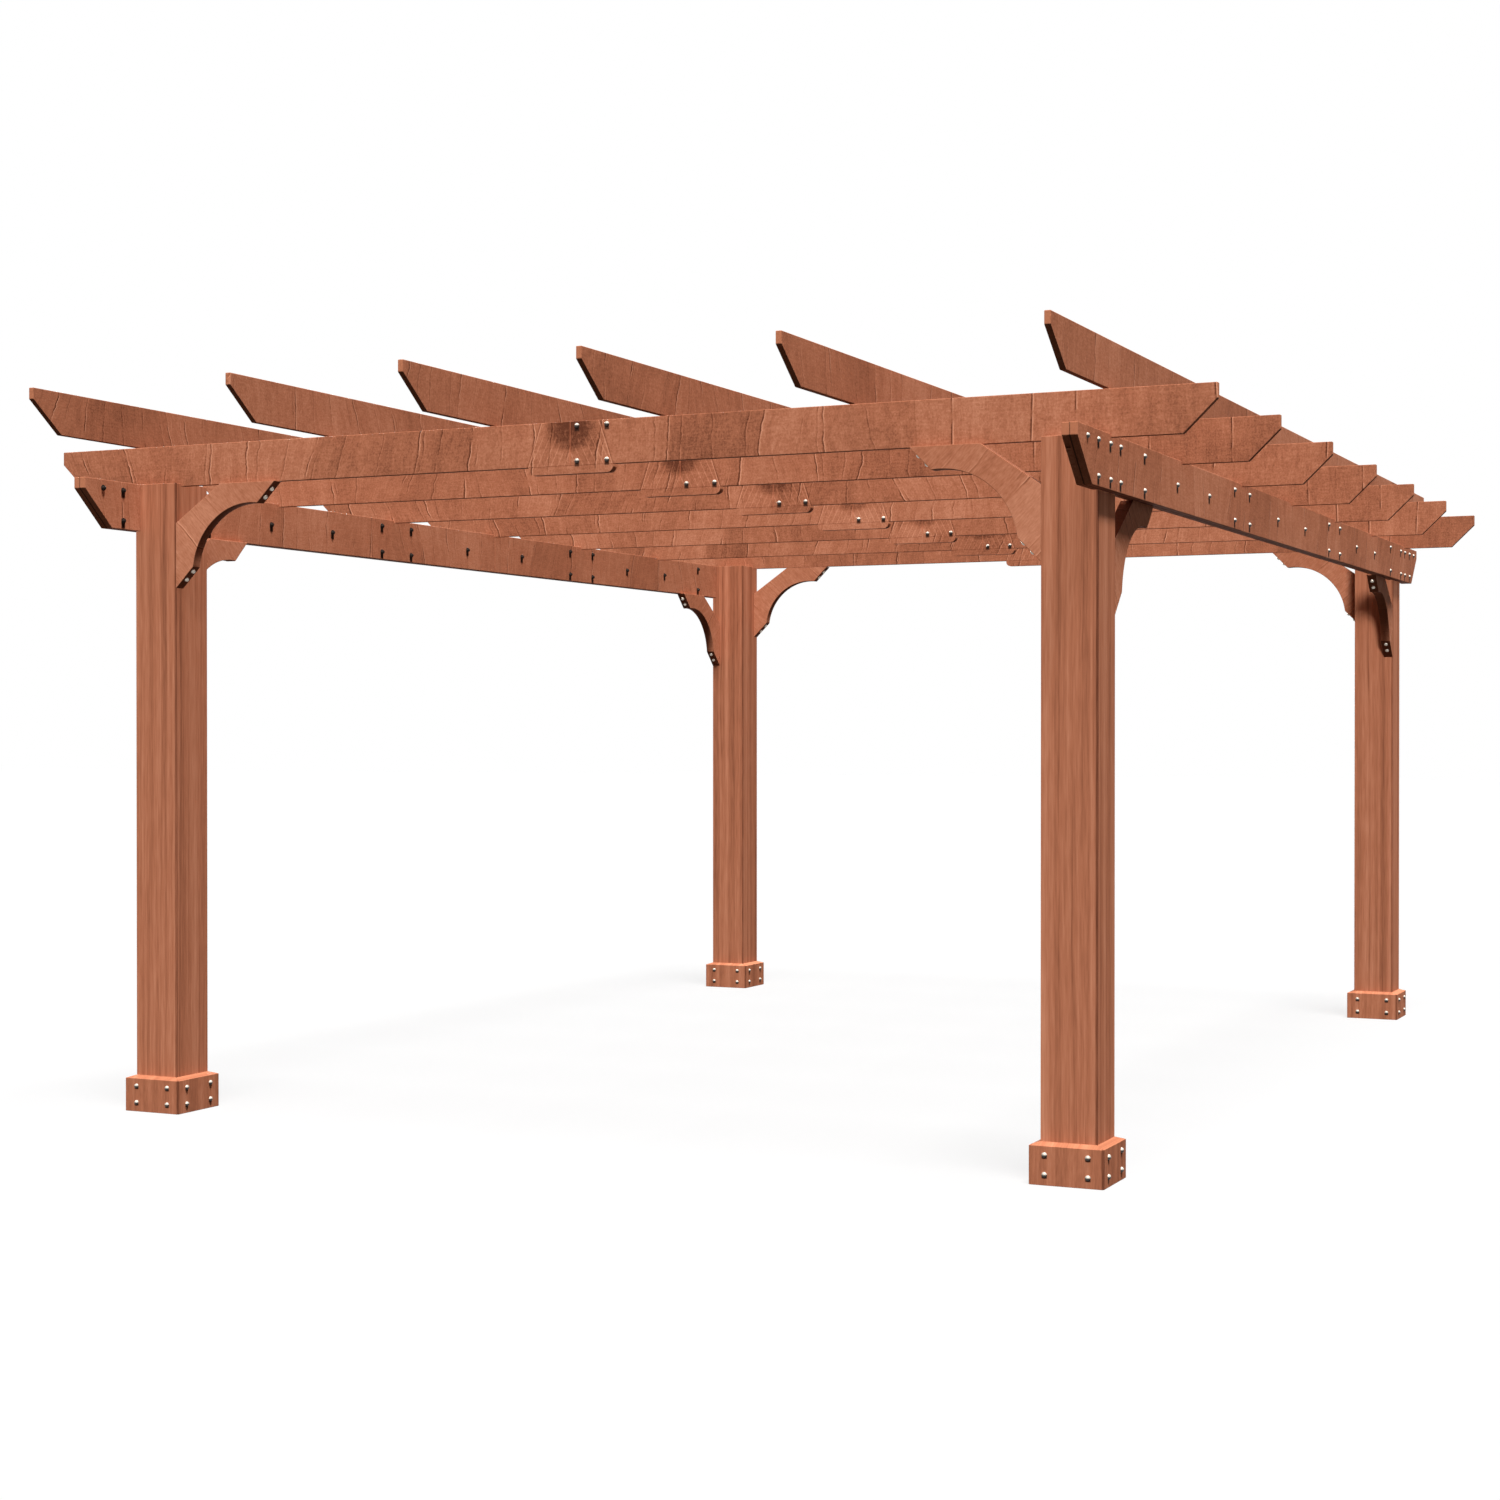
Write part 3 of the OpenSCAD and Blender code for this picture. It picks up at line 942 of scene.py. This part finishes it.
def lamp(name, level, source, softness):
    """A far lamp that lights a white surface facing it to the given level."""
    light = bpy.data.lights.new(name, "SUN")
    light.energy = math.pi * level
    light.angle = math.radians(softness)
    piece = bpy.data.objects.new(name, light)
    piece.rotation_euler = Vector(source).to_track_quat("Z", "Y").to_euler()
    bpy.context.scene.collection.objects.link(piece)
    return piece


def group(name, pieces, state):
    """A set of pieces that a lamp takes in or leaves out."""
    made = bpy.data.collections.new(name)
    for piece in pieces:
        made.objects.link(piece)
    for entry in made.collection_objects:
        entry.light_linking.link_state = state
    return made


def seen_directly(finish):
    """1 where the stage is seen by itself or in a reflection, and 0 where it only throws light."""
    kinds = ("Camera", "Glossy", "Transmission")
    rays = [finish.node("ShaderNodeLightPath", output=f"Is {kind} Ray") for kind in kinds]
    return rays[0].largest(rays[1]).largest(rays[2])


def floor():
    """A white floor that keeps a faint shadow where it is seen, and throws little light back."""
    mesh = bpy.data.meshes.new("floor")
    corners = [(-1, -1), (1, -1), (1, 1), (-1, 1)]
    points = [(x * FLOOR_HALF, y * FLOOR_HALF, -FLOOR_DROP) for x, y in corners]
    mesh.from_pydata(points, [], [(0, 1, 2, 3)])
    material, finish = new_finish("white_floor")
    glow = finish.node("ShaderNodeEmission", None, {"Color": color(WHITE), "Strength": 1.0})
    lit = finish.node("ShaderNodeBsdfDiffuse", None, {"Color": color(FLOOR_SEEN)})
    bounce = finish.node("ShaderNodeBsdfDiffuse", None, {"Color": color(FLOOR_BOUNCE)})
    pale = finish.node("ShaderNodeMixShader", None, {0: FLOOR_SHADOW_SHARE, 1: glow, 2: lit})
    mixed = finish.node("ShaderNodeMixShader", None, {0: seen_directly(finish), 1: bounce, 2: pale})
    finish.node("ShaderNodeOutputMaterial", None, {"Surface": mixed})
    mesh.materials.append(material)
    piece = bpy.data.objects.new("floor", mesh)
    bpy.context.scene.collection.objects.link(piece)
    return piece


def camera():
    """The camera that took the photograph, as its perspective gives it."""
    lens = bpy.data.cameras.new("camera")
    lens.sensor_width = SENSOR_MM
    lens.lens = SENSOR_MM * FOCAL_PIXELS / PHOTO_PIXELS
    lens.clip_end = 4 * FLOOR_HALF
    eye = bpy.data.objects.new("camera", lens)
    eye.location = CAMERA_PLACE
    eye.rotation_euler = (math.radians(90 + CAMERA_TILT), 0.0, math.radians(CAMERA_TURN))
    bpy.context.scene.collection.objects.link(eye)
    bpy.context.scene.camera = eye


bpy.context.scene.view_settings.view_transform = "Standard"
camera()
studio()

post_low, post_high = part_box("post_back_right")
skirt_low, skirt_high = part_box("skirt_back_right_ends")
rafter_low, rafter_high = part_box("rafter_1")
purlin_low, purlin_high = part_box("purlin_4")
beam_low, beam_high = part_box("beam_right_outer_ply")
inner_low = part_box("beam_right_inner_ply")[0]
plate_low, plate_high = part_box("splice_plate_1")
joint_x = (plate_low.x + plate_high.x) / 2
rafter_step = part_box("rafter_2")[0].y - rafter_low.y
purlin_from_middle = (purlin_low.x + purlin_high.x) / 2
purlin_middle = (purlin_low.z + purlin_high.z) / 2
brace_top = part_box("brace_front_left_rafter")[1].z

dress("post_", post_wood("post_cedar", post_low, post_high))
dress("skirt_", skirt_wood("skirt_cedar", skirt_low, skirt_high))
matched = rafter_wood("rafter_cedar", rafter_low, rafter_high, joint_x, rafter_step)
dress("rafter_", matched)
dress("splice_", matched)
dress("purlin_", purlin_wood("purlin_cedar", purlin_middle, purlin_from_middle))
dress("beam_", beam_wood("beam_cedar", beam_low, beam_high))
dress("brace_", brace_wood("rafter_brace_cedar", "X", brace_top), "rafter")
dress("brace_", brace_wood("beam_brace_cedar", "Y", brace_top), "beam")

# The zinc heads get painted shade on the side that looks down
zinc = plated("zinc", ZINC, metal=0.22, rough=0.42, underside_shade=0.95, gloss=0.5)
bright_zinc = plated("bright_zinc", ZINC, metal=0.92, rough=0.26, underside_shade=0.0, gloss=0.5)
# The nuts get a near-black colour that paints the shade they stand in
steel = plated("nut_steel", NUT_SHADE_DARK, metal=0.0, rough=0.75, underside_shade=0.0, gloss=0.08)
corners = ("front_left", "front_right", "back_left", "back_right")
skirt_places = [place for corner in corners for place in skirt_bolt_places(corner)]
set_bolts("skirt_bolts", dome_head(), skirt_places, zinc, smooth=True)
for side, sign in (("left", -1), ("right", 1)):
    outside = beam_bolt_places(sign * beam_high.x, sign)
    inside = [place for place in beam_bolt_places(sign * inner_low.x, -sign) if inner_face_clear(place[0])]
    set_bolts(f"beam_{side}_bolts", dome_head(), outside, zinc, smooth=True)
    set_bolts(f"beam_{side}_nuts", nut_and_washer(), inside, steel, smooth=False)
set_bolts("splice_bolts", dome_head(), splice_bolt_places(front=True), zinc, smooth=True)
set_bolts("splice_nuts", nut_and_washer(), splice_bolt_places(front=False), steel, smooth=False)
set_bolts("splice_lags", dome_head(), lag_places(), zinc, smooth=True)
brace_names = [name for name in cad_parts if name.startswith("brace_")]
brace_places = [place for name in brace_names for place in brace_bolt_places(name)]
set_bolts("brace_bolts", dome_head(), brace_places, bright_zinc, smooth=True)

lamps(floor())
